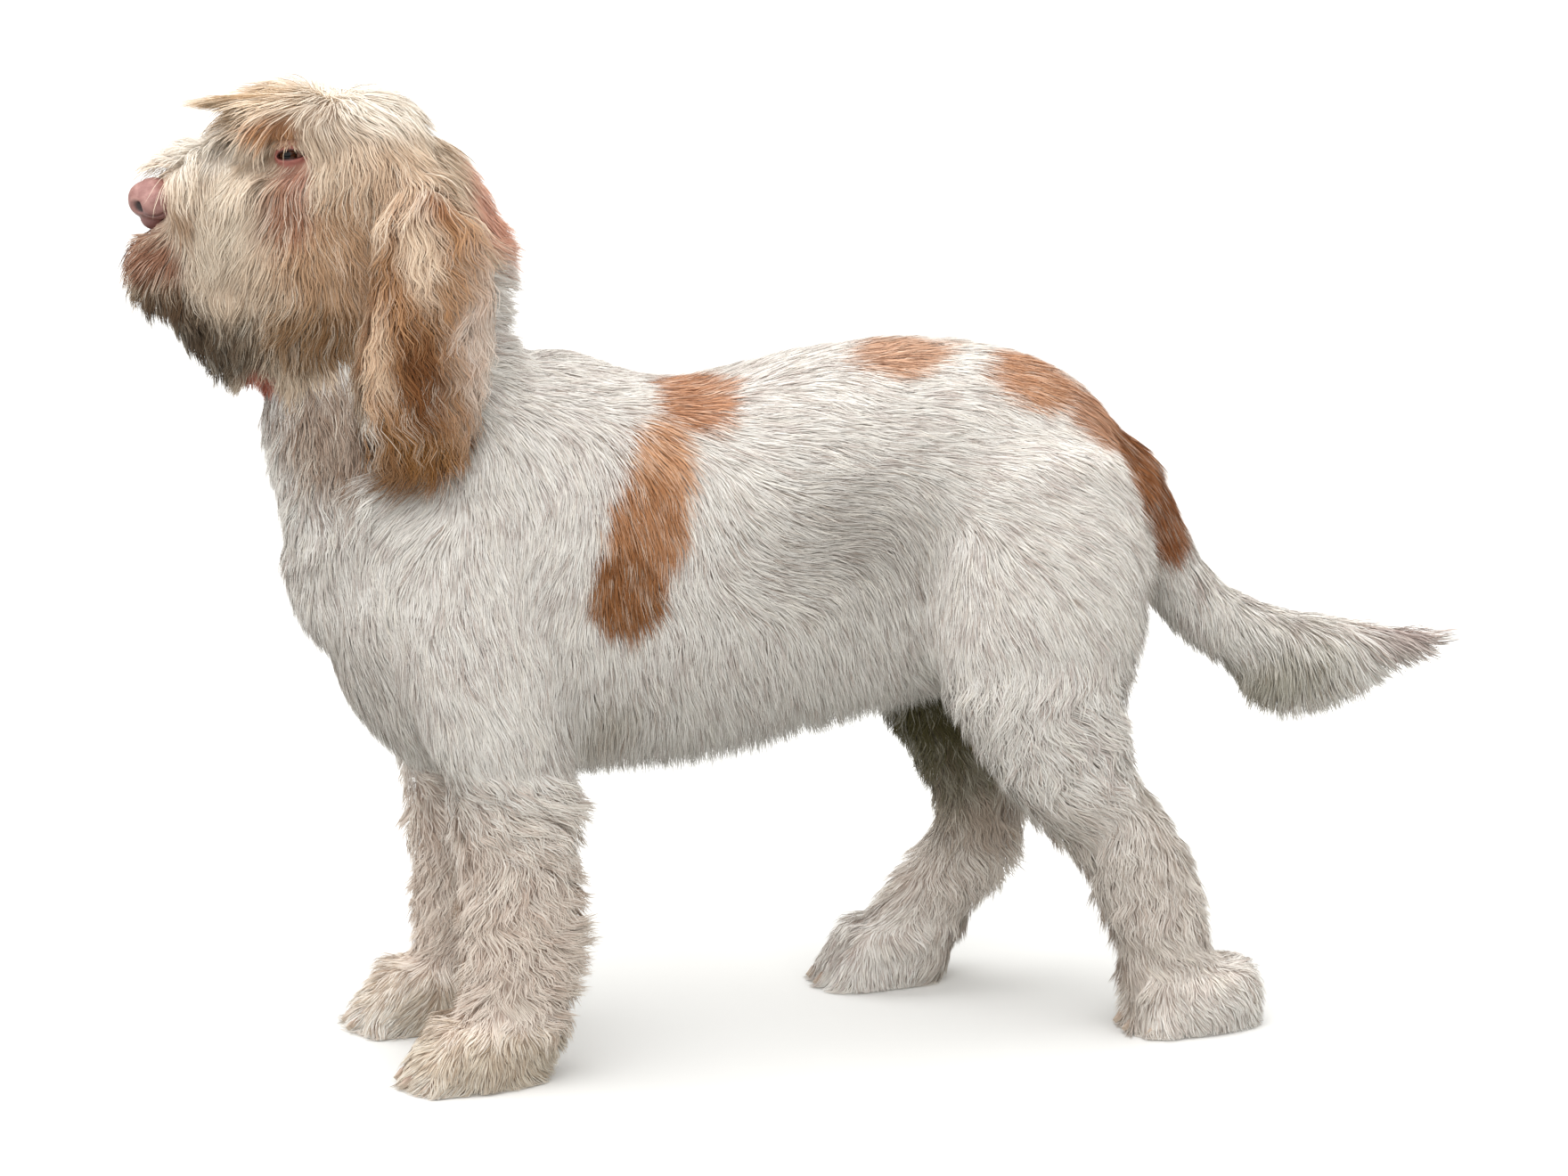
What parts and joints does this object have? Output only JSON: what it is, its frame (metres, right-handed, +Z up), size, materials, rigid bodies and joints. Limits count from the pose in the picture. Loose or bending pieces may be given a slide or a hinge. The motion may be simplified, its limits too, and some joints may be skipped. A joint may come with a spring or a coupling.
{
  "type": "spinone italiano dog",
  "caption": "Life-size standing Spinone dog with a rough white and orange coat, long hanging ears, a bearded muzzle and a low feathered tail.",
  "frame": {"origin": "on the floor, under the middle of the animal's length and width", "axes": "-Y the way the dog faces, +X its left side, +Z up"},
  "size_m": [0.3004, 1.2184, 0.8893],
  "materials": {
    "white_coat": "rough wiry hair, white with a faint pink and grey cast",
    "cream_coat": "longer soft hair, cream to pale orange",
    "orange_coat": "silky wavy hair, orange",
    "nose_skin": "bare flesh-pink skin, slightly moist",
    "eye": "wet, amber-brown",
    "claw": "pale horn, satin"
  },
  "bodies": {
    "root": {"claw_fore_left_1": "claw", "claw_fore_left_2": "claw", "claw_fore_left_3": "claw", "claw_fore_left_4": "claw", "claw_fore_right_1": "claw", "claw_fore_right_2": "claw", "claw_fore_right_3": "claw", "claw_fore_right_4": "claw", "claw_hind_left_1": "claw", "claw_hind_left_2": "claw", "claw_hind_left_3": "claw", "claw_hind_left_4": "claw", "claw_hind_right_1": "claw", "claw_hind_right_2": "claw", "claw_hind_right_3": "claw", "claw_hind_right_4": "claw", "ear_left": "orange_coat", "ear_right": "orange_coat", "eye_left": "eye", "eye_right": "eye", "foreleg_left": "white_coat", "foreleg_right": "white_coat", "forepaw_left": "white_coat", "forepaw_right": "white_coat", "head": "cream_coat", "hindleg_left": "white_coat", "hindleg_right": "white_coat", "hindpaw_left": "white_coat", "hindpaw_right": "white_coat", "jaw": "cream_coat", "muzzle": "white_coat", "neck": "white_coat", "nose": "nose_skin", "tail": "white_coat", "trunk": "white_coat"}
  },
  "joints": []
}
